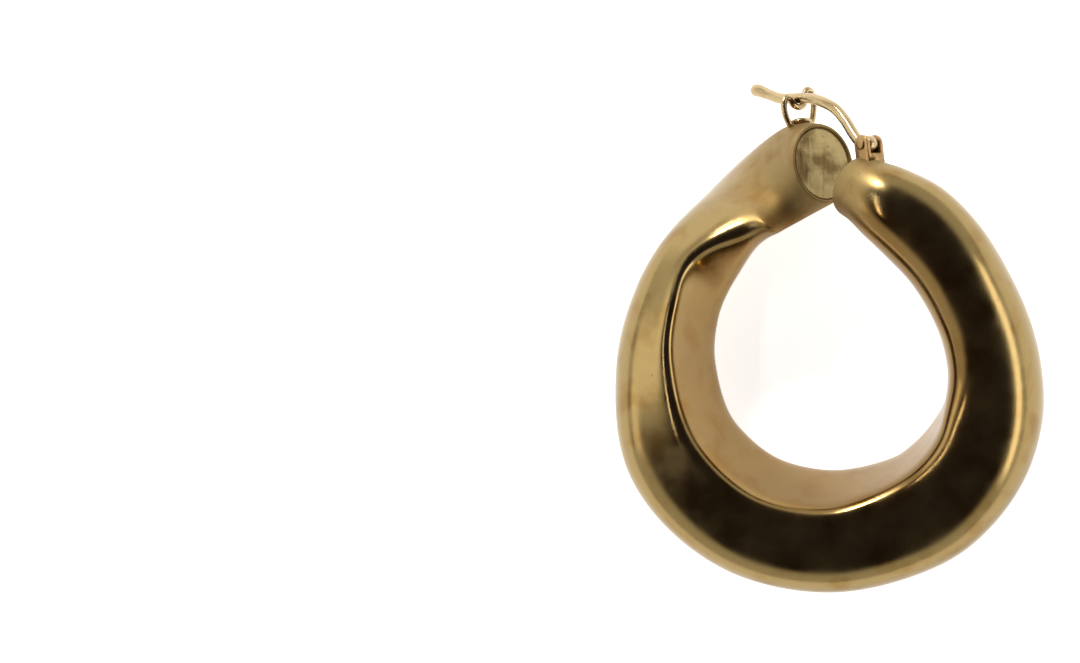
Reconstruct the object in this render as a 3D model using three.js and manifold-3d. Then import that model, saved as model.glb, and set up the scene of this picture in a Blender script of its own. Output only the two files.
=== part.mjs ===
import * as THREE from "three";
import { LoftGeometry } from "three/addons/geometries/LoftGeometry.js";
import { mergeVertices } from "three/addons/utils/BufferGeometryUtils.js";
import Module from "manifold-3d";

const wasm = await Module();
wasm.setup();

// Hollow hoop earring in millimetres, lying on its back, +Z up, the clasp toward +Y.

// hoop tube
const hoopReach = 12.5;          // middle of the hoop to the middle of the tube, nominal
const tubeBreadth = 8.0;         // across the tube in the plane of the hoop, at its fullest
const tubeDepth = 8.5;           // across the tube from front to back, at its fullest
const tipLift = 4.6;             // how far the front tip stands forward of the bottom
const wallThickness = 0.25;
const frontEndDiameter = 4.9;
const rearEndDiameter = 6.2;
const tubeSides = 32;
const tubeSteps = 84;
const boreSides = 20;
const boreSteps = 60;
const lookAhead = 0.025;         // share of the tube's length over which its direction is taken

// end caps, inset in the open ends of the tube
const capGap = 0.1;              // hairline all round each cap
const capRecess = 0.12;
const capThickness = 0.3;
const capSides = 40;

// hinge on the front tip
const hingeSetBack = 1.6;        // from the face of the front end into the tube
const hingeSideShift = 0.18;     // sideways from the middle of the front end
const hingeStand = 0.5;          // pin centre above the rim of the front end
const pinRadius = 0.25;
const pinClearance = 0.03;
const pinHeadRadius = 0.42;
const pinHeadHeight = 0.14;
const eyeRadius = 0.66;
const eyeThickness = 0.86;
const eyeSideGap = 0.06;
const earThickness = 0.34;
const earHalfWidth = 0.72;
const bracketDrop = 1.75;        // pin centre to the foot of the bracket, inside the tube wall
const bracketFloor = 0.82;       // pin centre to the inner floor of the bracket

// ear wire
const earWireRadius = 0.42;
const tipSwell = 0.08;           // how much thicker the free end is
const tipSwellSetBack = 0.6;     // from the free end to where it is thickest
const tipSwellLength = 1.0;

// catch on the rear end
const catchSetBack = 2.5;        // from the face of the rear end into the tube
const catchStand = 2.5;          // seat of the ear wire above the rim of the rear end
const catchWireRadius = 0.25;
const notchGap = 0.04;           // between the catch and the seated ear wire
const footSink = 0.2;
const padRadius = 1.0;
const padHeight = 0.45;

// resting pose on the floor
const restAngleX = 3.6;          // degrees
const restAngleY = 2.7;

const gold = new THREE.MeshStandardMaterial({ color: 0xc79b52, roughness: 0.18, metalness: 1 });
const capGold = new THREE.MeshStandardMaterial({ color: 0xa98f58, roughness: 0.42, metalness: 1 });
const pinGold = new THREE.MeshStandardMaterial({ color: 0x9c7a45, roughness: 0.3, metalness: 1 });
const wireGold = new THREE.MeshStandardMaterial({ color: 0xbfa06a, roughness: 0.28, metalness: 1 });

const deg = Math.PI / 180;
const frontRadius = frontEndDiameter / 2;
const rearRadius = rearEndDiameter / 2;

// One row per station from the front tip round to the rear end. turn is in degrees about the
// middle of the hoop. reach is a share of hoopReach, rise of tipLift, out and in of half the
// tubeBreadth, deep of half the tubeDepth. roll turns the inner wall toward the front, lean
// slopes the face outward, ridge and heel say how square the two inner corners are.
const stations = [
  { turn: 78.4, reach: 1.074, rise: 0.85, out: 0.64, in: 0.64, deep: 0.6, roll: 0, lean: 0, ridge: 2, heel: 2 },
  { turn: 72, reach: 1.036, rise: 1, out: 0.74, in: 0.74, deep: 0.66, roll: 0, lean: 0, ridge: 2.1, heel: 2.1 },
  { turn: 60, reach: 0.996, rise: 0.98, out: 0.84, in: 0.84, deep: 0.75, roll: 0, lean: 0, ridge: 2.2, heel: 2.2 },
  { turn: 45, reach: 0.96, rise: 0.85, out: 0.85, in: 0.85, deep: 0.85, roll: -5, lean: 0, ridge: 2.4, heel: 2.4 },
  { turn: 30, reach: 0.942, rise: 0.66, out: 0.84, in: 0.84, deep: 0.92, roll: -7, lean: 0, ridge: 2.7, heel: 2.7 },
  { turn: 15, reach: 0.956, rise: 0.47, out: 0.85, in: 0.85, deep: 0.95, roll: -6, lean: 0, ridge: 3, heel: 3 },
  { turn: 0, reach: 0.988, rise: 0.29, out: 0.88, in: 0.88, deep: 0.98, roll: -5, lean: 0, ridge: 3.5, heel: 3.5 },
  { turn: -15, reach: 1.024, rise: 0.14, out: 0.94, in: 0.94, deep: 0.99, roll: -2, lean: 0, ridge: 4.5, heel: 4.5 },
  { turn: -30, reach: 1.048, rise: 0.02, out: 0.98, in: 0.98, deep: 1, roll: 7, lean: 4, ridge: 6, heel: 5 },
  { turn: -45, reach: 1.058, rise: -0.07, out: 1, in: 0.99, deep: 1, roll: 12, lean: 8, ridge: 7, heel: 5 },
  { turn: -60, reach: 1.06, rise: -0.13, out: 1, in: 1, deep: 1, roll: 15, lean: 11, ridge: 8, heel: 5 },
  { turn: -90, reach: 1.062, rise: -0.19, out: 0.95, in: 0.95, deep: 1, roll: 24, lean: 15, ridge: 10, heel: 6 },
  { turn: -120, reach: 1.086, rise: -0.21, out: 0.94, in: 0.93, deep: 0.99, roll: 28.5, lean: 15, ridge: 10, heel: 6 },
  { turn: -150, reach: 1.092, rise: -0.24, out: 1, in: 0.93, deep: 0.95, roll: 30, lean: 8, ridge: 10, heel: 6 },
  { turn: -180, reach: 1.048, rise: -0.29, out: 0.93, in: 0.8, deep: 0.91, roll: 30.5, lean: -4, ridge: 10, heel: 6 },
  { turn: -200, reach: 1.052, rise: -0.35, out: 0.84, in: 0.71, deep: 0.85, roll: 33, lean: -8, ridge: 10, heel: 6 },
  { turn: -215, reach: 1.068, rise: -0.42, out: 0.76, in: 0.68, deep: 0.79, roll: 39, lean: -7, ridge: 8, heel: 5 },
  { turn: -230, reach: 1.1, rise: -0.48, out: 0.88, in: 1.05, deep: 0.62, roll: 38, lean: -16, ridge: 3, heel: 2.6 },
  { turn: -243, reach: 1.148, rise: -0.56, out: 1.01, in: 1.22, deep: 0.5, roll: 21, lean: -34, ridge: 2.2, heel: 2.4 },
  { turn: -253, reach: 1.19, rise: -0.46, out: 1.03, in: 1.12, deep: 0.47, roll: 12, lean: -29, ridge: 2.1, heel: 2.3 },
  { turn: -261, reach: 1.224, rise: -0.26, out: 0.95, in: 0.96, deep: 0.63, roll: 5, lean: -12, ridge: 2, heel: 2.1 },
];

// the two round ends
const frontEnd = { turn: 82, reach: 1.1, rise: 0.63, radius: frontRadius };
const rearEnd = { turn: -267.5, reach: 1.242, rise: 0.13, radius: rearRadius };

const inTube = (s) => [
  s.out * tubeBreadth / 2, s.in * tubeBreadth / 2, s.deep * tubeDepth / 2, s.roll, s.lean, s.ridge, s.heel,
];
const inEnd = (s) => [s.radius, s.radius, s.radius, 0, 0, 2, 2];
const rows = [inEnd(frontEnd), ...stations.map(inTube), inEnd(rearEnd)];
const centres = [frontEnd, ...stations, rearEnd].map((s) => new THREE.Vector3(
  s.reach * hoopReach * Math.cos(s.turn * deg), s.reach * hoopReach * Math.sin(s.turn * deg), s.rise * tipLift,
));
const spine = new THREE.CatmullRomCurve3(centres, false, "centripetal");
spine.arcLengthDivisions = 600;
const profile = new THREE.CubicInterpolant(rows.map((row, i) => i), rows.flat(), 7);

// axes of the tube at a share of its length: along it, outward from the hoop, and to the front
function tubeFrame(share) {
  const t = spine.getUtoTmapping(share);
  const at = spine.getPoint(t);
  const along = spine.getPointAt(Math.min(share + lookAhead, 1))
    .sub(spine.getPointAt(Math.max(share - lookAhead, 0))).normalize();
  const out = new THREE.Vector3(at.x, at.y, 0).normalize();
  out.addScaledVector(along, -out.dot(along)).normalize();
  return { t, at, along, out, front: new THREE.Vector3().crossVectors(along, out) };
}

// one closed section of the tube, shrunk by inset
function section(share, sides, inset, stretch = 0) {
  const { t, at, along, out, front } = tubeFrame(share);
  const [outward, inward, deep, roll, lean, ridge, heel] = profile.evaluate(t * (rows.length - 1));
  const p = out.clone().multiplyScalar(Math.cos(roll * deg)).addScaledVector(front, -Math.sin(roll * deg));
  const q = front.clone().multiplyScalar(Math.cos(roll * deg)).addScaledVector(out, Math.sin(roll * deg));
  const points = [];
  for (let i = 0; i < sides; i++) {
    const c = Math.cos(i / sides * 2 * Math.PI);
    const s = Math.sin(i / sides * 2 * Math.PI);
    const power = c >= 0 ? 1 : 2 / (s >= 0 ? ridge : heel);
    const x = (c >= 0 ? outward - inset : inward - inset) * Math.sign(c) * Math.abs(c) ** power;
    const y = (deep - inset) * Math.sign(s) * Math.abs(s) ** power + x * Math.tan(lean * deg);
    points.push(at.clone().addScaledVector(p, x).addScaledVector(q, y).addScaledVector(along, stretch));
  }
  return points;
}

// evenly spaced sections of the tube, one after the other
function tube(sides, steps, inset) {
  return Array.from({ length: steps + 1 }, (_, i) => section(i / steps, sides, inset));
}

// round rod through the points, its radius given along its length
function rod(points, sides, steps, radiusAt) {
  const line = new THREE.CatmullRomCurve3(points, false, "centripetal");
  const frames = line.computeFrenetFrames(steps, false);
  const rings = [];
  for (let i = 0; i <= steps; i++) {
    const at = line.getPointAt(i / steps);
    const radius = radiusAt(i / steps, line.getLength());
    rings.push(Array.from({ length: sides }, (_, j) => at.clone()
      .addScaledVector(frames.normals[i], radius * Math.cos(j / sides * 2 * Math.PI))
      .addScaledVector(frames.binormals[i], radius * Math.sin(j / sides * 2 * Math.PI))));
  }
  return new LoftGeometry(rings, { capStart: true, capEnd: true });
}

function solid(geometry) {
  const bare = new THREE.BufferGeometry();
  bare.setAttribute("position", geometry.attributes.position.clone());
  bare.setIndex(geometry.index);
  const merged = mergeVertices(bare, 1e-5);
  return new wasm.Manifold(new wasm.Mesh({
    numProp: 3, vertProperties: merged.attributes.position.array, triVerts: new Uint32Array(merged.index.array),
  }));
}

function geometryOf(shape) {
  const mesh = shape.getMesh();
  const geometry = new THREE.BufferGeometry();
  geometry.setAttribute("position", new THREE.BufferAttribute(mesh.vertProperties, 3));
  geometry.setIndex(new THREE.BufferAttribute(mesh.triVerts, 1));
  return geometry;
}

// clasp axes: X back along the ear wire, Y up from the hoop, Z along the hinge pin
const front = tubeFrame(0);
const rear = tubeFrame(1);
const back = rear.along.clone().negate();
const up = rear.out.clone();
const pinAxis = new THREE.Vector3().crossVectors(back, up);
const claspFrame = (at) => new THREE.Matrix4().makeBasis(back, up, pinAxis).setPosition(at);
const hinge = front.at.clone().addScaledVector(back, -hingeSetBack)
  .addScaledVector(up, frontRadius + hingeStand).addScaledVector(pinAxis, hingeSideShift);
const seat = rear.at.clone().addScaledVector(back, catchSetBack).addScaledVector(up, rearRadius + catchStand);
seat.addScaledVector(pinAxis, hinge.clone().sub(seat).dot(pinAxis));

// hinge bracket: floor and two rounded ears, bored for the pin
const slotHalf = eyeThickness / 2 + eyeSideGap;
const boreRadius = pinRadius + pinClearance;
const earOutline = new THREE.Shape();
earOutline.moveTo(-earHalfWidth, -bracketDrop);
earOutline.lineTo(earHalfWidth, -bracketDrop);
earOutline.lineTo(earHalfWidth, 0);
earOutline.absarc(0, 0, earHalfWidth, 0, Math.PI, false);
earOutline.closePath();
const bore = new THREE.Path();
bore.absarc(0, 0, boreRadius, 0, 2 * Math.PI, true);
earOutline.holes.push(bore);
const ear = new THREE.ExtrudeGeometry(earOutline, { depth: earThickness, bevelEnabled: false, curveSegments: 12 });
const floorHeight = bracketDrop - bracketFloor;
const floor = new THREE.BoxGeometry(2 * earHalfWidth, floorHeight, 2 * slotHalf + 2 * earThickness)
  .translate(0, -bracketFloor - floorHeight / 2, 0);
const bracket = solid(ear.clone().translate(0, 0, slotHalf))
  .add(solid(ear.clone().translate(0, 0, -slotHalf - earThickness)))
  .add(solid(floor));
const atHinge = claspFrame(hinge);
const atSeat = claspFrame(seat);
const placed = (shape, matrix) => solid(geometryOf(shape).applyMatrix4(matrix));

// height of the tube's skin under the seat, where the catch is soldered
const skin = section(1 - catchSetBack / spine.getLength(), 8 * tubeSides, 0).map((point) => point.sub(seat));
const ground = Math.max(...skin.filter((point) => Math.abs(point.dot(pinAxis)) < catchWireRadius)
  .map((point) => point.dot(up)));

// bent catch wire: side and height are shares of the distance from the seat to the notch
const notchDrop = earWireRadius + catchWireRadius + notchGap;
const footDrop = (ground - footSink) / notchDrop;
const catchBends = [
  { side: -0.95, height: footDrop }, { side: -1.5, height: -3 }, { side: -2, height: -2.1 },
  { side: -2.15, height: -1.1 }, { side: -2, height: -0.3 }, { side: -1.6, height: 0.1 },
  { side: -1.12, height: -0.12 }, { side: -0.76, height: -0.68 }, { side: 0, height: -1 },
  { side: 0.76, height: -0.68 }, { side: 1.05, height: 0.1 }, { side: 1.25, height: 0.7 },
  { side: 1.65, height: 1 }, { side: 2.1, height: 0.7 }, { side: 2.3, height: -0.3 },
  { side: 2.1, height: -1.5 }, { side: 1.65, height: -2.6 }, { side: 1, height: footDrop },
];
const catchWire = solid(rod(
  catchBends.map((b) => new THREE.Vector3(0, b.height * notchDrop, b.side * notchDrop)),
  8, 52, () => catchWireRadius,
));
const pad = solid(new THREE.SphereGeometry(1, 16, 8).scale(padRadius, padHeight, padRadius)
  .translate(0, ground, 0));
const catchLoop = catchWire.add(pad);

// hollow tube with the soldered bracket and catch
const boreRings = [
  section(0, boreSides, wallThickness, -1), ...tube(boreSides, boreSteps, wallThickness),
  section(1, boreSides, wallThickness, 1),
];
const hollow = solid(new LoftGeometry(boreRings, { capStart: true, capEnd: true }));
const hoopBody = solid(new LoftGeometry(tube(tubeSides, tubeSteps, 0), { capStart: true, capEnd: true }))
  .add(placed(bracket, atHinge))
  .add(placed(catchLoop, atSeat))
  .subtract(hollow);

// ear wire: along is a share of the way from hinge to seat, height a share of their level difference
const reachToSeat = seat.clone().sub(hinge);
const wireRun = reachToSeat.dot(back);
const wireClimb = reachToSeat.dot(up);
const wireBends = [
  { along: 0.03, height: 0 }, { along: 0.09, height: 0.02 }, { along: 0.185, height: 0.17 },
  { along: 0.31, height: 0.46 }, { along: 0.43, height: 0.66 }, { along: 0.59, height: 0.81 },
  { along: 0.76, height: 0.92 }, { along: 0.89, height: 0.97 }, { along: 1, height: 1 },
  { along: 1.12, height: 1.03 }, { along: 1.28, height: 1.08 }, { along: 1.45, height: 1.19 },
  { along: 1.61, height: 1.3 }, { along: 1.7, height: 1.325 },
];
const roundEnd = (share, length) => {
  const fromTip = (1 - share) * length;
  const swollen = earWireRadius + tipSwell * Math.exp(-(((fromTip - tipSwellSetBack) / tipSwellLength) ** 2));
  const into = Math.min(fromTip / swollen, 1);
  return swollen * Math.sqrt(Math.max(1 - (1 - into) ** 2, 0.04));
};
const wireRod = rod(
  wireBends.map((b) => new THREE.Vector3(b.along * wireRun, b.height * wireClimb, 0)), 12, 60, roundEnd,
);
const eye = new THREE.CylinderGeometry(eyeRadius, eyeRadius, eyeThickness, 28).rotateX(Math.PI / 2);
const eyeBore = new THREE.CylinderGeometry(boreRadius, boreRadius, 2, 28).rotateX(Math.PI / 2);
const earWire = solid(wireRod).add(solid(eye)).subtract(solid(eyeBore));

// riveted hinge pin
const pinHalf = slotHalf + earThickness + pinClearance;
const pinOutline = [
  [0, -pinHalf - pinHeadHeight], [pinHeadRadius * 0.7, -pinHalf - pinHeadHeight], [pinHeadRadius, -pinHalf - pinHeadHeight * 0.4],
  [pinHeadRadius, -pinHalf], [pinRadius, -pinHalf], [pinRadius, pinHalf], [pinHeadRadius, pinHalf],
  [pinHeadRadius, pinHalf + pinHeadHeight * 0.4], [pinHeadRadius * 0.7, pinHalf + pinHeadHeight], [0, pinHalf + pinHeadHeight],
].map(([x, y]) => new THREE.Vector2(x, y));
const pin = new THREE.LatheGeometry(pinOutline, 20).rotateX(Math.PI / 2);

// flat cap set square in an open end, its outer face just inside the rim
function cap(end, radius, outward) {
  const disc = new THREE.CylinderGeometry(radius, radius, capThickness, capSides);
  const turn = new THREE.Quaternion().setFromUnitVectors(new THREE.Vector3(0, 1, 0), outward);
  const middle = end.at.clone().addScaledVector(outward, -capRecess - capThickness / 2);
  return disc.applyQuaternion(turn).translate(middle.x, middle.y, middle.z);
}

const earring = new THREE.Group();
function piece(name, geometry, material) {
  const mesh = new THREE.Mesh(geometry, material.clone());
  mesh.name = name;
  earring.add(mesh);
}
piece("hoop_body", geometryOf(hoopBody), gold);
piece("rear_end_cap", cap(rear, rearRadius - wallThickness - capGap, rear.along), capGold);
piece("front_end_cap", cap(front, frontRadius - wallThickness - capGap, front.along.clone().negate()), capGold);
piece("hinge_pin", pin.applyMatrix4(atHinge), pinGold);
piece("ear_wire", geometryOf(earWire).applyMatrix4(atHinge), wireGold);

// lay it down: turned to its resting pose, over the origin, lowest point on the floor
earring.rotation.set(restAngleX * deg, restAngleY * deg, 0);
earring.updateMatrixWorld(true);
const bounds = new THREE.Box3().setFromObject(earring, true);
const middle = bounds.getCenter(new THREE.Vector3());
earring.position.set(-middle.x, -middle.y, -bounds.min.z);

const lying = new THREE.Group();
lying.add(earring);
export default lying;
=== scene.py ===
import math

import bmesh
import bpy
from mathutils import Matrix, Vector


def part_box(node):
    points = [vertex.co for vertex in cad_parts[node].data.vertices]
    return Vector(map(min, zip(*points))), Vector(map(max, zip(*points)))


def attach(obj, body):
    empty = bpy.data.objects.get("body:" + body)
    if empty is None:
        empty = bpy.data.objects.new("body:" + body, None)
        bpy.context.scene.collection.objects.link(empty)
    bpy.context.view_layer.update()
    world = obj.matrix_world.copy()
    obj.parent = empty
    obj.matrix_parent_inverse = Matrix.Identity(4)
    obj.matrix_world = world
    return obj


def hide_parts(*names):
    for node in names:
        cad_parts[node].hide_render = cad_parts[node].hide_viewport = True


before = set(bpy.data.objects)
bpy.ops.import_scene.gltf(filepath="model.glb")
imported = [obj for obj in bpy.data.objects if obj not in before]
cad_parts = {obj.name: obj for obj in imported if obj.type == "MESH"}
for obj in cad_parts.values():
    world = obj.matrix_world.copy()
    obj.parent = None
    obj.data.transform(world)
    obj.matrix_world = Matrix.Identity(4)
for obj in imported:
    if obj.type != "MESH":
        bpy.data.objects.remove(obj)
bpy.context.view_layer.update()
scene = bpy.context.scene
scene.view_settings.view_transform = "Standard"

mm = 0.001
restTurn = {"aboutX": 3.6, "aboutY": 2.7}    # degrees, how the hoop tips to lie on the floor

# the hoop's own line and section, in millimetres

hoop = {
    "reach": 12.5,
    "breadth": 8.0,
    "depth": 8.5,
    "tipLift": 4.6,
    "frontRadius": 2.45,
    "rearRadius": 3.1,
    "lookAhead": 0.025,      # share of the tube over which its direction is taken
    "sides": 88,
    "steps": 176,
    "outlineParts": 540,     # points of a section before they are spaced evenly
    "lineParts": 600,        # parts in which the line's length is measured
    "wall": 0.25,
}
wireParts = 400              # parts in which a wire's length is measured

# turn, reach, rise, out, in, deep, roll, lean, ridge, heel, from the front tip to the rear end
hoopStations = [
    (78.4, 1.074, 0.85, 0.64, 0.64, 0.6, 0, 0, 2, 2),
    (72, 1.036, 1, 0.74, 0.74, 0.66, 0, 0, 2.1, 2.1),
    (60, 0.996, 0.98, 0.84, 0.84, 0.75, 0, 0, 2.2, 2.2),
    (45, 0.96, 0.85, 0.85, 0.85, 0.85, -5, 0, 2.4, 2.4),
    (30, 0.942, 0.66, 0.84, 0.84, 0.92, -7, 0, 2.7, 2.7),
    (15, 0.956, 0.47, 0.85, 0.85, 0.95, -6, 0, 3, 3),
    (0, 0.988, 0.29, 0.88, 0.88, 0.98, -5, 0, 3.5, 3.5),
    (-15, 1.024, 0.14, 0.94, 0.94, 0.99, -2, 0, 4.5, 4.5),
    (-30, 1.048, 0.02, 0.98, 0.98, 1, 7, 4, 6, 5),
    (-45, 1.058, -0.07, 1, 0.99, 1, 12, 8, 7, 5),
    (-60, 1.06, -0.13, 1, 1, 1, 15, 11, 8, 5),
    (-90, 1.062, -0.19, 0.95, 0.95, 1, 24, 15, 10, 6),
    (-120, 1.086, -0.21, 0.94, 0.93, 0.99, 28.5, 15, 10, 6),
    (-150, 1.092, -0.24, 1, 0.93, 0.95, 30, 8, 10, 6),
    (-180, 1.048, -0.29, 0.93, 0.8, 0.91, 30.5, -4, 10, 6),
    (-200, 1.052, -0.35, 0.84, 0.71, 0.85, 33, -8, 10, 6),
    (-215, 1.068, -0.42, 0.76, 0.68, 0.79, 39, -7, 8, 5),
    (-230, 1.1, -0.48, 0.88, 1.05, 0.62, 38, -16, 3, 2.6),
    (-243, 1.148, -0.56, 1.01, 1.22, 0.5, 21, -34, 2.2, 2.4),
    (-253, 1.19, -0.46, 1.03, 1.12, 0.47, 12, -29, 2.1, 2.3),
    (-261, 1.224, -0.26, 0.95, 0.96, 0.63, 5, -12, 2, 2.1),
]
frontTip = (82, 1.1, 0.63)       # turn, reach, rise of the two round ends
rearTip = (-267.5, 1.242, 0.13)


def centreAt(turn, reach, rise):
    angle = math.radians(turn)
    return Vector((reach * hoop["reach"] * math.cos(angle), reach * hoop["reach"] * math.sin(angle),
                   rise * hoop["tipLift"]))


def splinePoint(points, t):
    # a point of a centripetal spline through the points
    place = (len(points) - 1) * t
    i = min(int(place), len(points) - 2)
    w = place - i
    p1, p2 = points[i], points[i + 1]
    p0 = points[i - 1] if i > 0 else p1 * 2 - p2
    p3 = points[i + 2] if i + 2 < len(points) else p2 * 2 - p1
    d0, d1, d2 = (max((a - b).length, 1e-6) ** 0.5 for a, b in ((p0, p1), (p1, p2), (p2, p3)))
    m1 = ((p1 - p0) / d0 - (p2 - p0) / (d0 + d1) + (p2 - p1) / d1) * d1
    m2 = ((p2 - p1) / d1 - (p3 - p1) / (d1 + d2) + (p3 - p2) / d2) * d1
    return p1 + m1 * w + (p1 * -3 + p2 * 3 - m1 * 2 - m2) * w * w + (p1 * 2 - p2 * 2 + m1 + m2) * w * w * w


class EvenSpline:
    def __init__(self, points, parts):
        self.points = points
        self.parts = parts
        run = [splinePoint(points, i / parts) for i in range(parts + 1)]
        self.lengths = [0.0]
        for a, b in zip(run, run[1:]):
            self.lengths.append(self.lengths[-1] + (b - a).length)

    def timeAt(self, share):
        wanted = share * self.lengths[-1]
        low, high = 0, self.parts
        while high - low > 1:
            mid = (low + high) // 2
            if self.lengths[mid] > wanted:
                high = mid
            else:
                low = mid
        step = self.lengths[high] - self.lengths[low]
        return min((low + (wanted - self.lengths[low]) / step) / self.parts, 1)

    def at(self, share):
        return splinePoint(self.points, self.timeAt(share))


def blendRows(rows, place):
    # the row values at a place between rows, on a smooth curve
    i = min(int(place), len(rows) - 2)
    p = place - i
    wP = -0.5 if i == 0 else 0.5
    wN = -0.5 if i == len(rows) - 2 else 0.5
    before = rows[i + 1] if i == 0 else rows[i - 1]
    after = rows[i] if i == len(rows) - 2 else rows[i + 2]
    sP = -wP * p ** 3 + 2 * wP * p ** 2 - wP * p
    s0 = (1 + wP) * p ** 3 + (-1.5 - 2 * wP) * p ** 2 + (-0.5 + wP) * p + 1
    s1 = (-1 - wN) * p ** 3 + (1.5 + wN) * p ** 2 + 0.5 * p
    sN = wN * p ** 3 - wN * p ** 2
    return [sP * a + s0 * b + s1 * c + sN * d for a, b, c, d in zip(before, rows[i], rows[i + 1], after)]


halfBreadth, halfDepth = hoop["breadth"] / 2, hoop["depth"] / 2
hoopRows = [(hoop["frontRadius"],) * 3 + (0, 0, 2, 2)]
for row in hoopStations:
    hoopRows.append((row[3] * halfBreadth, row[4] * halfBreadth, row[5] * halfDepth) + row[6:])
hoopRows.append((hoop["rearRadius"],) * 3 + (0, 0, 2, 2))
hoopPlaces = [frontTip] + [row[:3] for row in hoopStations] + [rearTip]
hoopLine = EvenSpline([centreAt(*place) for place in hoopPlaces], hoop["lineParts"])


def tubeAxes(share):
    time = hoopLine.timeAt(share)
    middle = splinePoint(hoopLine.points, time)
    ahead, behind = min(share + hoop["lookAhead"], 1), max(share - hoop["lookAhead"], 0)
    along = (hoopLine.at(ahead) - hoopLine.at(behind)).normalized()
    out = Vector((middle.x, middle.y, 0)).normalized()
    out = (out - along * out.dot(along)).normalized()
    return time, middle, along, out, along.cross(out)


def sectionRing(share, sides, inset=0.0, push=0.0):
    # points of one section, evenly spaced round it, the first one on the ridge
    time, middle, along, out, front = tubeAxes(share)
    outward, inward, deep, roll, lean, ridge, heel = blendRows(hoopRows, time * (len(hoopRows) - 1))
    turn, slope = math.radians(roll), math.tan(math.radians(lean))
    p = out * math.cos(turn) - front * math.sin(turn)
    q = front * math.cos(turn) + out * math.sin(turn)
    fine, flat = hoop["outlineParts"], []
    for i in range(fine + 1):
        angle = math.radians(135 + i * 360 / fine)
        c, s = math.cos(angle), math.sin(angle)
        power = 1 if c >= 0 else 2 / (ridge if s >= 0 else heel)
        x = ((outward if c >= 0 else inward) - inset) * math.copysign(abs(c) ** power, c)
        y = (deep - inset) * math.copysign(abs(s) ** power, s) + x * slope
        flat.append((x, y))
    lengths = [0.0]
    for a, b in zip(flat, flat[1:]):
        lengths.append(lengths[-1] + math.dist(a, b))
    ring, j = [], 0
    for i in range(sides):
        wanted = lengths[-1] * i / sides
        while lengths[j + 1] < wanted:
            j += 1
        w = (wanted - lengths[j]) / (lengths[j + 1] - lengths[j])
        x = flat[j][0] * (1 - w) + flat[j + 1][0] * w
        y = flat[j][1] * (1 - w) + flat[j + 1][1] * w
        ring.append(middle + p * x + q * y + along * push)
    return ring


# from the hoop's place to the floor

def cadMiddle(node):
    low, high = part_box(node)
    return (low + high) / 2 / mm


tip, tail = tubeAxes(0), tubeAxes(1)
capSet = {"gap": 0.1, "recess": 0.12, "thick": 0.3}
capDepth = capSet["recess"] + capSet["thick"] / 2
lay = (Matrix.Rotation(math.radians(restTurn["aboutX"]), 4, "X")
       @ Matrix.Rotation(math.radians(restTurn["aboutY"]), 4, "Y"))
rearMiddle = tail[1] - tail[2] * capDepth
frontMiddle = tip[1] + tip[2] * capDepth
shift = (cadMiddle("rear_end_cap") - lay @ rearMiddle + cadMiddle("front_end_cap") - lay @ frontMiddle) / 2
toFloor = Matrix.Scale(mm, 4) @ Matrix.Translation(shift) @ lay
print("hoop stands at", [round(v, 3) for v in shift])

# camera, first

cameraSet = {
    "height": 260.0, "besideHoop": (-4, 25), "pixelsPerMm": 13, "lensPixels": 3362.0,
    "aimPixels": (-288.0, 8.5), "pixelsWide": 1080, "sensor": 36.0, "near": 0.01, "far": 50.0,
}
cameraData = bpy.data.cameras.new("camera")
camera = bpy.data.objects.new("camera", cameraData)
scene.collection.objects.link(camera)
cameraData.sensor_width = cameraSet["sensor"]
cameraData.lens = cameraSet["sensor"] * cameraSet["lensPixels"] / cameraSet["pixelsWide"]
cameraData.clip_start, cameraData.clip_end = cameraSet["near"], cameraSet["far"]
beside = [pixels / cameraSet["pixelsPerMm"] for pixels in cameraSet["besideHoop"]]
eyeAt = toFloor @ Vector((*beside, cameraSet["height"]))
turnOnly = lay.to_3x3()
aim = turnOnly @ Vector((*cameraSet["aimPixels"], -cameraSet["lensPixels"])).normalized()
cameraUp = turnOnly @ Vector((0, 1, 0))
cameraRight = aim.cross(cameraUp).normalized()
cameraUp = cameraRight.cross(aim)
camera.matrix_world = Matrix.Translation(eyeAt) @ Matrix((cameraRight, cameraUp, -aim)).transposed().to_4x4()
scene.camera = camera
print("camera set")

# mesh helpers


def newMesh(name, bm):
    bmesh.ops.remove_doubles(bm, verts=bm.verts, dist=1e-5)
    bmesh.ops.recalc_face_normals(bm, faces=bm.faces)
    bmesh.ops.transform(bm, matrix=toFloor, verts=bm.verts)
    for face in bm.faces:
        face.smooth = True
    mesh = bpy.data.meshes.new(name)
    bm.to_mesh(mesh)
    bm.free()
    made = bpy.data.objects.new(name, mesh)
    scene.collection.objects.link(made)
    return made


def firstRing(bm, points):
    made = bmesh.ops.create_circle(bm, cap_ends=False, segments=len(points), radius=1)
    ring = made["verts"]
    for vert, point in zip(ring, points):
        vert.co = point
    return ring


def ringEdges(ring):
    wanted = set(ring)
    return [e for v in ring for e in v.link_edges if e.other_vert(v) in wanted and e.verts[0] is v]


def nextRing(bm, ring, points):
    # pulls the ring out to the next one and sets its points
    made = bmesh.ops.extrude_edge_only(bm, edges=ringEdges(ring))
    fresh = {v for v in made["geom"] if isinstance(v, bmesh.types.BMVert)}
    following = []
    for vert, point in zip(ring, points):
        pulled = next(e.other_vert(vert) for e in vert.link_edges if e.other_vert(vert) in fresh)
        pulled.co = point
        following.append(pulled)
    return following


def loft(bm, rings):
    ring = firstRing(bm, rings[0])
    start = list(ring)
    made = [start]
    for points in rings[1:]:
        ring = nextRing(bm, ring, points)
        made.append(ring)
    bmesh.ops.contextual_create(bm, geom=ringEdges(start))
    bmesh.ops.contextual_create(bm, geom=ringEdges(ring))
    return made


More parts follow.
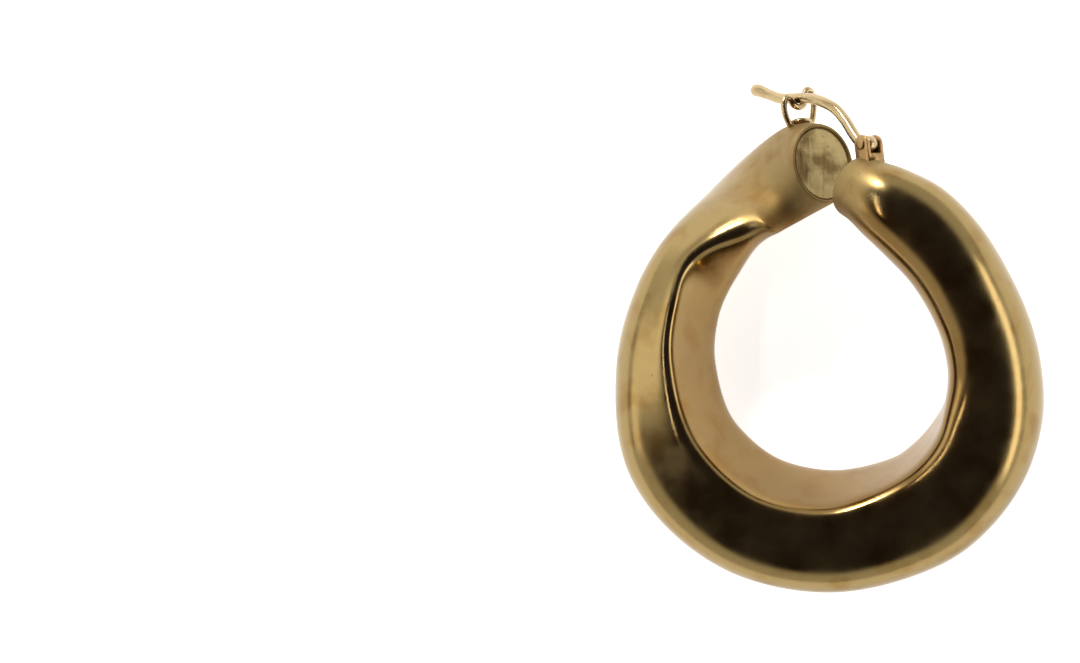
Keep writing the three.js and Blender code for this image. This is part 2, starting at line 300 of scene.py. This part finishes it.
def wireRings(points, sides, steps, radiusAt):
    # round sections along a spline, turned as little as can be from one to the next
    line = EvenSpline(points, wireParts)
    length = line.lengths[-1]
    spots = [line.at(i / steps) for i in range(steps + 1)]
    side, rings = None, []
    for i, spot in enumerate(spots):
        along = (spots[min(i + 1, steps)] - spots[max(i - 1, 0)]).normalized()
        if side is None:
            side = along.orthogonal()
        side = (side - along * side.dot(along)).normalized()
        other = along.cross(side)
        radius = radiusAt(i / steps, length)
        rings.append([spot + side * radius * math.cos(2 * math.pi * j / sides)
                      + other * radius * math.sin(2 * math.pi * j / sides) for j in range(sides)])
    return rings


# materials

def nodeOf(tree, kind, place=(0, 0), **values):
    node = tree.nodes.new(kind)
    node.location = place
    for name, value in values.items():
        setattr(node, name, value)
    return node


wearMarks = {
    "waveDetail": 1.0, "scratchTurn": (0.3, 0.2, 0.9), "scratchStretch": (1.0, 0.07, 0.2),
    "scratchDetail": 4.0, "scratchRough": 0.7, "pitDepth": 0.25,
    "rubSize": 420.0, "rubDetail": 5.0, "rubLow": 0.3, "rubHigh": 0.7,
}


def handlingWear():
    # soft hammer marks, fine scratches, pits and rubbed patches of worn gold
    group = bpy.data.node_groups.new("handlingWear", "ShaderNodeTree")
    face = group.interface
    for name in ("Wave Size", "Wave Height", "Scratch Size", "Scratch Height", "Pit Size", "Pit Share"):
        face.new_socket(name=name, in_out="INPUT", socket_type="NodeSocketFloat")
    for name in ("Height", "Rub", "Pits"):
        face.new_socket(name=name, in_out="OUTPUT", socket_type="NodeSocketFloat")
    given = nodeOf(group, "NodeGroupInput", (-900, 0))
    done = nodeOf(group, "NodeGroupOutput", (700, 0))
    spot = nodeOf(group, "ShaderNodeTexCoord", (-900, 300))
    link = group.links.new

    wave = nodeOf(group, "ShaderNodeTexNoise", (-600, 300))
    wave.inputs["Detail"].default_value = wearMarks["waveDetail"]
    link(spot.outputs["Object"], wave.inputs["Vector"])
    link(given.outputs["Wave Size"], wave.inputs["Scale"])
    waveHeight = nodeOf(group, "ShaderNodeMath", (-400, 300), operation="MULTIPLY")
    link(wave.outputs["Fac"], waveHeight.inputs[0])
    link(given.outputs["Wave Height"], waveHeight.inputs[1])

    stretch = nodeOf(group, "ShaderNodeMapping", (-750, 0))
    stretch.inputs["Rotation"].default_value = wearMarks["scratchTurn"]
    stretch.inputs["Scale"].default_value = wearMarks["scratchStretch"]
    link(spot.outputs["Object"], stretch.inputs["Vector"])
    scratch = nodeOf(group, "ShaderNodeTexNoise", (-600, 0))
    scratch.inputs["Detail"].default_value = wearMarks["scratchDetail"]
    scratch.inputs["Roughness"].default_value = wearMarks["scratchRough"]
    link(stretch.outputs["Vector"], scratch.inputs["Vector"])
    link(given.outputs["Scratch Size"], scratch.inputs["Scale"])
    scratchHeight = nodeOf(group, "ShaderNodeMath", (-400, 0), operation="MULTIPLY")
    link(scratch.outputs["Fac"], scratchHeight.inputs[0])
    link(given.outputs["Scratch Height"], scratchHeight.inputs[1])

    pit = nodeOf(group, "ShaderNodeTexVoronoi", (-600, -300))
    link(spot.outputs["Object"], pit.inputs["Vector"])
    link(given.outputs["Pit Size"], pit.inputs["Scale"])
    pitEdge = nodeOf(group, "ShaderNodeMapRange", (-400, -300))
    pitEdge.inputs["From Min"].default_value = 0.0
    pitEdge.inputs["To Min"].default_value = 1.0
    pitEdge.inputs["To Max"].default_value = 0.0
    link(pit.outputs["Distance"], pitEdge.inputs["Value"])
    link(given.outputs["Pit Share"], pitEdge.inputs["From Max"])

    rub = nodeOf(group, "ShaderNodeTexNoise", (-600, -600))
    rub.inputs["Scale"].default_value = wearMarks["rubSize"]
    rub.inputs["Detail"].default_value = wearMarks["rubDetail"]
    link(spot.outputs["Object"], rub.inputs["Vector"])

    total = nodeOf(group, "ShaderNodeMath", (-100, 200), operation="ADD")
    link(waveHeight.outputs[0], total.inputs[0])
    link(scratchHeight.outputs[0], total.inputs[1])
    dug = nodeOf(group, "ShaderNodeMath", (100, 100), operation="MULTIPLY_ADD")
    dug.inputs[1].default_value = -wearMarks["pitDepth"]
    link(pitEdge.outputs["Result"], dug.inputs[0])
    link(total.outputs[0], dug.inputs[2])
    link(dug.outputs[0], done.inputs["Height"])
    link(rub.outputs["Fac"], done.inputs["Rub"])
    link(pitEdge.outputs["Result"], done.inputs["Pits"])
    return group


wearGroup = handlingWear()


def innerPaintedShade(tree, colour, paintedShade):
    # painted shade: deeper, warmer gold near the middle of the hoop, standing in for the dim reflections and
    # shade on the inner wall
    link = tree.links.new
    spot = nodeOf(tree, "ShaderNodeTexCoord", (-900, 700))
    flat = nodeOf(tree, "ShaderNodeVectorMath", (-700, 700), operation="MULTIPLY_ADD")
    flat.inputs[1].default_value = (1, 1, 0)
    middle = toFloor @ Vector((0, 0, 0))
    flat.inputs[2].default_value = (-middle.x, -middle.y, 0)
    link(spot.outputs["Object"], flat.inputs[0])
    reach = nodeOf(tree, "ShaderNodeVectorMath", (-550, 700), operation="LENGTH")
    link(flat.outputs["Vector"], reach.inputs[0])
    patch = nodeOf(tree, "ShaderNodeTexNoise", (-700, 900))
    patch.inputs["Scale"].default_value = paintedShade["patchSize"]
    link(spot.outputs["Object"], patch.inputs["Vector"])
    ragged = nodeOf(tree, "ShaderNodeMath", (-400, 800), operation="MULTIPLY_ADD")
    ragged.inputs[1].default_value = paintedShade["ragged"]
    link(patch.outputs["Fac"], ragged.inputs[0])
    link(reach.outputs["Value"], ragged.inputs[2])
    share = nodeOf(tree, "ShaderNodeMapRange", (-250, 700), interpolation_type="SMOOTHSTEP")
    share.inputs["From Min"].default_value = paintedShade["outer"]
    share.inputs["From Max"].default_value = paintedShade["inner"]
    share.inputs["To Max"].default_value = paintedShade["share"]
    link(ragged.outputs[0], share.inputs["Value"])
    shadedGold = nodeOf(tree, "ShaderNodeMix", (-100, 600), data_type="RGBA")
    shadedGold.inputs["B"].default_value = (*paintedShade["colour"], 1)
    link(colour, shadedGold.inputs["A"])
    link(share.outputs["Result"], shadedGold.inputs["Factor"])
    return shadedGold.outputs["Result"]


def satinPatch(tree, rough, satin):
    # filed and soldered skin round the rear end is duller than the rest
    link = tree.links.new
    spot = nodeOf(tree, "ShaderNodeTexCoord", (-900, -500))
    away = nodeOf(tree, "ShaderNodeVectorMath", (-700, -500), operation="DISTANCE")
    away.inputs[1].default_value = toFloor @ tail[1]
    link(spot.outputs["Object"], away.inputs[0])
    share = nodeOf(tree, "ShaderNodeMapRange", (-550, -500), interpolation_type="SMOOTHSTEP")
    share.inputs["From Min"].default_value = satin["outer"]
    share.inputs["From Max"].default_value = satin["inner"]
    link(away.outputs["Value"], share.inputs["Value"])
    dull = nodeOf(tree, "ShaderNodeMix", (-250, -100), data_type="FLOAT")
    dull.inputs["B"].default_value = satin["rough"]
    link(rough, dull.inputs["A"])
    link(share.outputs["Result"], dull.inputs["Factor"])
    return dull.outputs["Result"]


def goldMaterial(name, look):
    made = bpy.data.materials.new(name)
    made.use_nodes = True
    tree = made.node_tree
    shader = tree.nodes["Principled BSDF"]
    shader.inputs["Metallic"].default_value = 1.0
    link = tree.links.new
    wear = nodeOf(tree, "ShaderNodeGroup", (-700, 0), node_tree=wearGroup)
    for socket, value in look["wear"].items():
        wear.inputs[socket].default_value = value
    tone = nodeOf(tree, "ShaderNodeMix", (-400, 300), data_type="RGBA")
    tone.inputs["A"].default_value = (*look["tarnish"], 1)
    tone.inputs["B"].default_value = (*look["colour"], 1)
    spread = nodeOf(tree, "ShaderNodeMapRange", (-550, 300))
    spread.inputs["From Min"].default_value = look["tarnishFrom"]
    spread.inputs["From Max"].default_value = look["tarnishTo"]
    link(wear.outputs["Rub"], spread.inputs["Value"])
    link(spread.outputs["Result"], tone.inputs["Factor"])
    pitTone = nodeOf(tree, "ShaderNodeMix", (-200, 300), data_type="RGBA")
    pitTone.inputs["B"].default_value = (*look["pit"], 1)
    link(tone.outputs["Result"], pitTone.inputs["A"])
    link(wear.outputs["Pits"], pitTone.inputs["Factor"])
    last = pitTone.outputs["Result"]
    # painted shade on the inner wall of the hoop, when the look has one
    if "inner" in look:
        last = innerPaintedShade(tree, last, look["inner"])
    link(last, shader.inputs["Base Color"])
    rough = nodeOf(tree, "ShaderNodeMapRange", (-400, 0))
    rough.inputs["From Min"].default_value = wearMarks["rubLow"]
    rough.inputs["From Max"].default_value = wearMarks["rubHigh"]
    rough.inputs["To Min"].default_value = look["smooth"]
    rough.inputs["To Max"].default_value = look["rough"]
    link(wear.outputs["Rub"], rough.inputs["Value"])
    grain = rough.outputs["Result"]
    if "satin" in look:
        grain = satinPatch(tree, grain, look["satin"])
    link(grain, shader.inputs["Roughness"])
    bump = nodeOf(tree, "ShaderNodeBump", (-300, -300))
    bump.inputs["Strength"].default_value = look["bump"]
    bump.inputs["Distance"].default_value = look["bumpDepth"]
    link(wear.outputs["Height"], bump.inputs["Height"])
    link(bump.outputs["Normal"], shader.inputs["Normal"])
    return made


hoopGold = goldMaterial("hoopGold", {
    "colour": (0.32, 0.228, 0.094), "tarnish": (0.26, 0.16, 0.052), "tarnishFrom": 0.3, "tarnishTo": 0.52,
    "pit": (0.2, 0.12, 0.05), "smooth": 0.14, "rough": 0.26, "bump": 0.12, "bumpDepth": 0.0004,
    # inner: painted shade, a deeper and warmer gold on the inside of the hoop
    "inner": {"colour": (0.27, 0.135, 0.034), "outer": 0.0138, "inner": 0.012, "ragged": 0.0022,
              "patchSize": 260.0, "share": 0.42},
    "satin": {"inner": 0.005, "outer": 0.009, "rough": 0.62},
    "wear": {"Wave Size": 160.0, "Wave Height": 0.5, "Scratch Size": 1400.0, "Scratch Height": 0.1,
             "Pit Size": 700.0, "Pit Share": 0.08},
})
capGold = goldMaterial("capGold", {
    "colour": (0.4, 0.31, 0.145), "tarnish": (0.15, 0.1, 0.04), "tarnishFrom": 0.4, "tarnishTo": 0.56,
    "pit": (0.1, 0.06, 0.03), "smooth": 0.28, "rough": 0.48, "bump": 0.45, "bumpDepth": 0.0003,
    "wear": {"Wave Size": 700.0, "Wave Height": 0.4, "Scratch Size": 2600.0, "Scratch Height": 0.3,
             "Pit Size": 1800.0, "Pit Share": 0.16},
})
wireGold = goldMaterial("wireGold", {
    "colour": (0.5, 0.38, 0.21), "tarnish": (0.36, 0.245, 0.12), "tarnishFrom": 0.25, "tarnishTo": 0.5,
    "pit": (0.25, 0.16, 0.08), "smooth": 0.16, "rough": 0.34, "bump": 0.2, "bumpDepth": 0.0002,
    "wear": {"Wave Size": 600.0, "Wave Height": 0.3, "Scratch Size": 3000.0, "Scratch Height": 0.3,
             "Pit Size": 1600.0, "Pit Share": 0.1},
})
pinGold = goldMaterial("pinGold", {
    "colour": (0.44, 0.28, 0.12), "tarnish": (0.24, 0.13, 0.05), "tarnishFrom": 0.35, "tarnishTo": 0.6,
    "pit": (0.12, 0.07, 0.03), "smooth": 0.2, "rough": 0.4, "bump": 0.25, "bumpDepth": 0.0002,
    "wear": {"Wave Size": 900.0, "Wave Height": 0.4, "Scratch Size": 3000.0, "Scratch Height": 0.3,
             "Pit Size": 2200.0, "Pit Share": 0.14},
})
print("materials made")

# hoop tube

# inset, and how far out past the end
rim = [(0.05, 0.03), (0.13, 0.04), (0.21, 0.02), (hoop["wall"], -0.05), (hoop["wall"], -0.46)]
# the patch's share of the tube, half its width in points, and how its edges draw in from pass to pass
easing = {
    "from": 0.915, "to": 0.988, "halfWidth": 19, "passes": 10, "factor": 0.5,
    "shrink": 0.75, "endShrink": 0.4,
}


def easeShoulder(bm, rings, sides):
    # evens out the skin where the ridge runs into the round rear end, softer toward the edges of the patch
    count = len(rings) - 1
    for i in range(easing["passes"]):
        less = easing["shrink"] * i / easing["passes"] / 2
        span = easing["to"] - easing["from"]
        first = round(count * (easing["from"] + span * less))
        last = round(count * (easing["to"] - span * less * easing["endShrink"]))
        wide = round(easing["halfWidth"] * (1 - less))
        patch = [rings[k][j % sides] for k in range(first, last) for j in range(-wide, wide + 1)]
        bmesh.ops.smooth_vert(bm, verts=patch, factor=easing["factor"],
                              use_axis_x=True, use_axis_y=True, use_axis_z=True)


def makeHoopTube():
    bm = bmesh.new()
    sides, steps = hoop["sides"], hoop["steps"]
    rings = [sectionRing(0, sides, inset, -push) for inset, push in reversed(rim)]
    rings += [sectionRing(i / steps, sides) for i in range(steps + 1)]
    rings += [sectionRing(1, sides, inset, push) for inset, push in rim]
    skin = loft(bm, rings)[len(rim):-len(rim)]
    easeShoulder(bm, skin, sides)
    made = newMesh("hoopTube", bm)
    soft = made.modifiers.new("soft", "SUBSURF")
    soft.levels = soft.render_levels = 1
    made.data.materials.append(hoopGold)
    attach(made, "hoop")
    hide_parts("hoop_body")


makeHoopTube()
print("hoop tube made")

# end caps

capLook = {"sides": 72, "edge": 0.05, "edgeParts": 3, "dish": 0.02, "rimInset": 0.12, "faceInset": 0.5}


def makeEndCap(name, node, middle, outward, radius):
    bm = bmesh.new()
    made = bmesh.ops.create_circle(bm, cap_ends=True, segments=capLook["sides"], radius=radius)
    top = bmesh.ops.extrude_face_region(bm, geom=bm.faces[:])
    raised = [v for v in top["geom"] if isinstance(v, bmesh.types.BMVert)]
    bmesh.ops.translate(bm, verts=raised, vec=(0, 0, capSet["thick"]))
    edges = [e for e in bm.edges if all(v in raised for v in e.verts)]
    bmesh.ops.bevel(bm, geom=edges, affect="EDGES", offset=capLook["edge"], segments=capLook["edgeParts"],
                    profile=0.5, material=-1)
    bmesh.ops.translate(bm, verts=bm.verts, vec=(0, 0, -capSet["thick"] / 2))
    face = max(bm.faces, key=lambda f: f.calc_center_median().z)
    bmesh.ops.inset_individual(bm, faces=[face], thickness=capLook["rimInset"], depth=-capLook["dish"])
    bmesh.ops.inset_individual(bm, faces=[face], thickness=capLook["faceInset"], depth=0)
    stand = Vector((0, 0, 1)).rotation_difference(outward).to_matrix().to_4x4()
    bmesh.ops.transform(bm, matrix=Matrix.Translation(middle) @ stand, verts=bm.verts)
    cap = newMesh(name, bm)
    cap.data.materials.append(capGold)
    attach(cap, "hoop")
    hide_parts(node)


capInset = hoop["wall"] + capSet["gap"]
makeEndCap("rearEndCap", "rear_end_cap", rearMiddle, tail[2], hoop["rearRadius"] - capInset)
makeEndCap("frontEndCap", "front_end_cap", frontMiddle, -tip[2], hoop["frontRadius"] - capInset)
print("end caps made")

# clasp axes: X back along the wire, Y up, Z along the pin

hinge = {
    "setBack": 1.6, "sideShift": 0.18, "stand": 0.5, "pinRadius": 0.25, "pinClearance": 0.03,
    "headRadius": 0.42, "headHeight": 0.14, "eyeRadius": 0.66, "eyeThick": 0.86, "eyeGap": 0.06,
    "earThick": 0.34, "earHalf": 0.72, "earSides": 32, "earRound": 0.07, "edgeParts": 3, "footRound": 0.1,
    "drop": 1.75, "floor": 0.82, "eyeRound": 0.08, "spinSteps": 28,
}
# the pin's head, as shares of its radius and height
headCurve = [(0, 1), (0.55, 0.95), (0.85, 0.7), (1, 0.3), (1, 0)]
catch = {
    "setBack": 2.5, "stand": 2.5, "wireRadius": 0.25, "notchGap": 0.04, "footSink": 0.2,
    "padRadius": 0.9, "padHeight": 0.3, "padSides": 32, "sides": 16, "steps": 110, "skinParts": 256,
}
wire = {"radius": 0.42, "tipSwell": 0.08, "swellAt": 0.6, "tipShare": 0.04, "sides": 20, "steps": 110}

back, up = -tail[2], tail[3]
pinAxis = back.cross(up)
hingeAt = tip[1] - back * hinge["setBack"] + up * (hoop["frontRadius"] + hinge["stand"])
hingeAt += pinAxis * hinge["sideShift"]
seatAt = tail[1] + back * catch["setBack"] + up * (hoop["rearRadius"] + catch["stand"])
seatAt += pinAxis * (hingeAt - seatAt).dot(pinAxis)


def claspFrame(at):
    turned = Matrix((back, up, pinAxis)).transposed().to_4x4()
    return Matrix.Translation(at) @ turned


slotHalf = hinge["eyeThick"] / 2 + hinge["eyeGap"]


def spinRound(bm, outline):
    # turns a short outline of radius and height about the pin's line
    verts = [bm.verts.new((r, 0, z)) for r, z in outline]
    closing = verts[:1] if outline[0][0] > 0 else []
    edges = [bm.edges.new(pair) for pair in zip(verts, verts[1:] + closing)]
    bmesh.ops.spin(bm, geom=verts + edges, cent=(0, 0, 0), axis=(0, 0, 1), angle=2 * math.pi,
                   steps=hinge["spinSteps"], use_merge=True)


def makeBracket():
    bm = bmesh.new()
    for side in (1, -1):
        made = bmesh.ops.create_circle(bm, cap_ends=True, segments=hinge["earSides"], radius=hinge["earHalf"])
        outline = made["verts"]
        for vert in outline:
            if vert.co.y < -1e-4:
                vert.co.y = -hinge["drop"] + hinge["footRound"] * (1 - abs(vert.co.x) / hinge["earHalf"])
        face = outline[0].link_faces[0]
        top = bmesh.ops.extrude_face_region(bm, geom=[face])
        raised = [v for v in top["geom"] if isinstance(v, bmesh.types.BMVert)]
        bmesh.ops.translate(bm, verts=raised, vec=(0, 0, hinge["earThick"]))
        both = outline + raised
        low = slotHalf if side > 0 else -slotHalf - hinge["earThick"]
        bmesh.ops.translate(bm, verts=both, vec=(0, 0, low))
        rims = {e for v in both for e in v.link_edges if abs(e.verts[0].co.z - e.verts[1].co.z) < 1e-5}
        bmesh.ops.bevel(bm, geom=list(rims), affect="EDGES", offset=hinge["earRound"],
                        segments=hinge["edgeParts"], profile=0.5, material=-1)
    height = hinge["drop"] - hinge["floor"]
    base = bmesh.ops.create_cube(bm, size=1)
    shape = Matrix.Translation((0, -hinge["floor"] - height / 2, 0)) @ Matrix.Diagonal(
        (2 * hinge["earHalf"], height, 2 * slotHalf + hinge["earThick"], 1))
    bmesh.ops.transform(bm, matrix=shape, verts=base["verts"])
    bmesh.ops.transform(bm, matrix=claspFrame(hingeAt), verts=bm.verts)
    made = newMesh("hingeBracket", bm)
    made.data.materials.append(pinGold)
    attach(made, "hoop")
    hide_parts("hoop_body")


def makePin():
    bm = bmesh.new()
    half = slotHalf + hinge["earThick"] + hinge["pinClearance"]
    head, radius, tall = hinge["headRadius"], hinge["pinRadius"], hinge["headHeight"]
    ends = [(head * across, half + tall * high) for across, high in headCurve] + [(radius, half)]
    outline = [(r, -z) for r, z in ends] + [(r, z) for r, z in reversed(ends)]
    spinRound(bm, outline)
    bmesh.ops.transform(bm, matrix=claspFrame(hingeAt), verts=bm.verts)
    made = newMesh("hingePin", bm)
    made.data.materials.append(pinGold)
    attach(made, "hoop")
    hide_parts("hinge_pin")


makeBracket()
makePin()
print("hinge made")

# side and height are shares of the distance from the seat to the notch
notchDrop = wire["radius"] + catch["wireRadius"] + catch["notchGap"]
catchShare = 1 - catch["setBack"] / hoopLine.lengths[-1]
skin = [point - seatAt for point in sectionRing(catchShare, catch["skinParts"])]
ground = max(point.dot(up) for point in skin if abs(point.dot(pinAxis)) < catch["wireRadius"])
footDrop = (ground - catch["footSink"]) / notchDrop
catchBends = [
    (-0.95, footDrop), (-1.5, -3), (-2, -2.1), (-2.15, -1.1), (-2, -0.3), (-1.6, 0.1),
    (-1.12, -0.12), (-0.76, -0.68), (0, -1), (0.76, -0.68), (1.05, 0.1), (1.25, 0.7),
    (1.65, 1), (2.1, 0.7), (2.3, -0.3), (2.1, -1.5), (1.65, -2.6), (1, footDrop),
]


def makeCatch():
    bm = bmesh.new()
    points = [Vector((0, height * notchDrop, side * notchDrop)) for side, height in catchBends]
    loft(bm, wireRings(points, catch["sides"], catch["steps"], lambda share, length: catch["wireRadius"]))
    padSides = catch["padSides"]
    pad = bmesh.ops.create_uvsphere(bm, u_segments=padSides, v_segments=padSides // 2, radius=1)
    shape = Matrix.Translation((0, ground, 0)) @ Matrix.Diagonal(
        (catch["padRadius"], catch["padHeight"], catch["padRadius"], 1))
    bmesh.ops.transform(bm, matrix=shape @ Matrix.Rotation(math.pi / 2, 4, "X"), verts=pad["verts"])
    bmesh.ops.transform(bm, matrix=claspFrame(seatAt), verts=bm.verts)
    made = newMesh("wireCatch", bm)
    made.data.materials.append(wireGold)
    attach(made, "hoop")
    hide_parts("hoop_body")


makeCatch()
print("catch made")

# along is a share of the way from hinge to seat, height a share of their level difference
wireBends = [
    (0.03, 0), (0.09, 0.02), (0.185, 0.17), (0.31, 0.46), (0.43, 0.66), (0.59, 0.81), (0.76, 0.92),
    (0.89, 0.97), (1, 1), (1.12, 1.03), (1.28, 1.08), (1.45, 1.19), (1.61, 1.3), (1.7, 1.325),
]


def makeEarWire():
    bm = bmesh.new()
    way = seatAt - hingeAt
    run, climb = way.dot(back), way.dot(up)

    def radiusAt(share, length):
        fromTip = (1 - share) * length
        swollen = wire["radius"] + wire["tipSwell"] * math.exp(-((fromTip - wire["swellAt"]) ** 2))
        into = min(fromTip / swollen, 1)
        return swollen * math.sqrt(max(1 - (1 - into) ** 2, wire["tipShare"]))

    points = [Vector((along * run, height * climb, 0)) for along, height in wireBends]
    loft(bm, wireRings(points, wire["sides"], wire["steps"], radiusAt))
    inner, outer, half = hinge["pinRadius"] + hinge["pinClearance"], hinge["eyeRadius"], hinge["eyeThick"] / 2
    ease = hinge["eyeRound"]
    spinRound(bm, [(inner, -half), (outer - ease, -half), (outer, -half + ease), (outer, half - ease),
                   (outer - ease, half), (inner, half)])
    bmesh.ops.transform(bm, matrix=claspFrame(hingeAt), verts=bm.verts)
    made = newMesh("earWire", bm)
    made.data.materials.append(wireGold)
    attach(made, "clasp_wire")
    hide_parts("ear_wire")


makeEarWire()
print("ear wire made")

# floor and light

floorSet = {
    "size": 6.0, "colour": (0.86, 0.86, 0.85), "rough": 0.9, "shine": 0.1, "glow": (1, 0.99, 0.97),
    "glowStrength": 0.85,
}
bm = bmesh.new()
bmesh.ops.create_grid(bm, x_segments=1, y_segments=1, size=floorSet["size"] / 2)
floorMesh = bpy.data.meshes.new("floor")
bm.to_mesh(floorMesh)
bm.free()
floor = bpy.data.objects.new("floor", floorMesh)
scene.collection.objects.link(floor)
floorMaterial = bpy.data.materials.new("floorPaint")
floorMaterial.use_nodes = True
floorShader = floorMaterial.node_tree.nodes["Principled BSDF"]
floorShader.inputs["Base Color"].default_value = (*floorSet["colour"], 1)
floorShader.inputs["Roughness"].default_value = floorSet["rough"]
floorShader.inputs["Specular IOR Level"].default_value = floorSet["shine"]
floorShader.inputs["Emission Color"].default_value = (*floorSet["glow"], 1)
floorShader.inputs["Emission Strength"].default_value = floorSet["glowStrength"]
floor.data.materials.append(floorMaterial)

skySet = {
    "low": (0.8, 0.78, 0.73), "high": (0.034, 0.028, 0.034), "darkWay": (0.06, -0.06, 1.0),
    "from": 0.44, "to": 0.7,
}
world = bpy.data.worlds.new("studio")
scene.world = world
world.use_nodes = True
sky = world.node_tree
spot = nodeOf(sky, "ShaderNodeTexCoord", (-900, 0))
split = nodeOf(sky, "ShaderNodeVectorMath", (-700, 0), operation="DOT_PRODUCT")
split.inputs[1].default_value = Vector(skySet["darkWay"]).normalized()
fade = nodeOf(sky, "ShaderNodeMapRange", (-500, 0), interpolation_type="SMOOTHSTEP")
fade.inputs["From Min"].default_value = skySet["from"]
fade.inputs["From Max"].default_value = skySet["to"]
mixSky = nodeOf(sky, "ShaderNodeMix", (-300, 0), data_type="RGBA")
mixSky.inputs["A"].default_value = (*skySet["low"], 1)
mixSky.inputs["B"].default_value = (*skySet["high"], 1)
sky.links.new(spot.outputs["Generated"], split.inputs[0])
sky.links.new(split.outputs["Value"], fade.inputs["Value"])
sky.links.new(fade.outputs["Result"], mixSky.inputs["Factor"])
sky.links.new(mixSky.outputs["Result"], sky.nodes["Background"].inputs["Color"])

lampAway = 0.8
lamps = [
    # name, direction round from +X, height above the floor in degrees, size, power, colour
    ("window", 112, 36, (0.1, 0.09), 3.2, (1, 0.98, 0.95)),
    ("windowLow", 112, 20, (0.16, 0.04), 0.6, (1, 0.98, 0.95)),
    ("leftBox", 172, 22, (0.7, 0.25), 0.6, (1, 0.97, 0.92)),
    ("ridgeStrip", 178, 57, (0.5, 0.03), 0.6, (1, 0.98, 0.94)),
    ("rightBox", -12, 20, (0.7, 0.2), 1.2, (1, 0.97, 0.92)),
]
for name, around, high, size, power, colour in lamps:
    lampData = bpy.data.lights.new(name, "AREA")
    lampData.shape = "RECTANGLE"
    lampData.size, lampData.size_y = size
    lampData.energy = power
    lampData.color = colour
    lamp = bpy.data.objects.new(name, lampData)
    scene.collection.objects.link(lamp)
    a, h = math.radians(around), math.radians(high)
    way = Vector((math.cos(a) * math.cos(h), math.sin(a) * math.cos(h), math.sin(h)))
    lamp.location = way * lampAway
    lamp.rotation_euler = way.to_track_quat("Z", "Y").to_euler()
print("floor and light made")
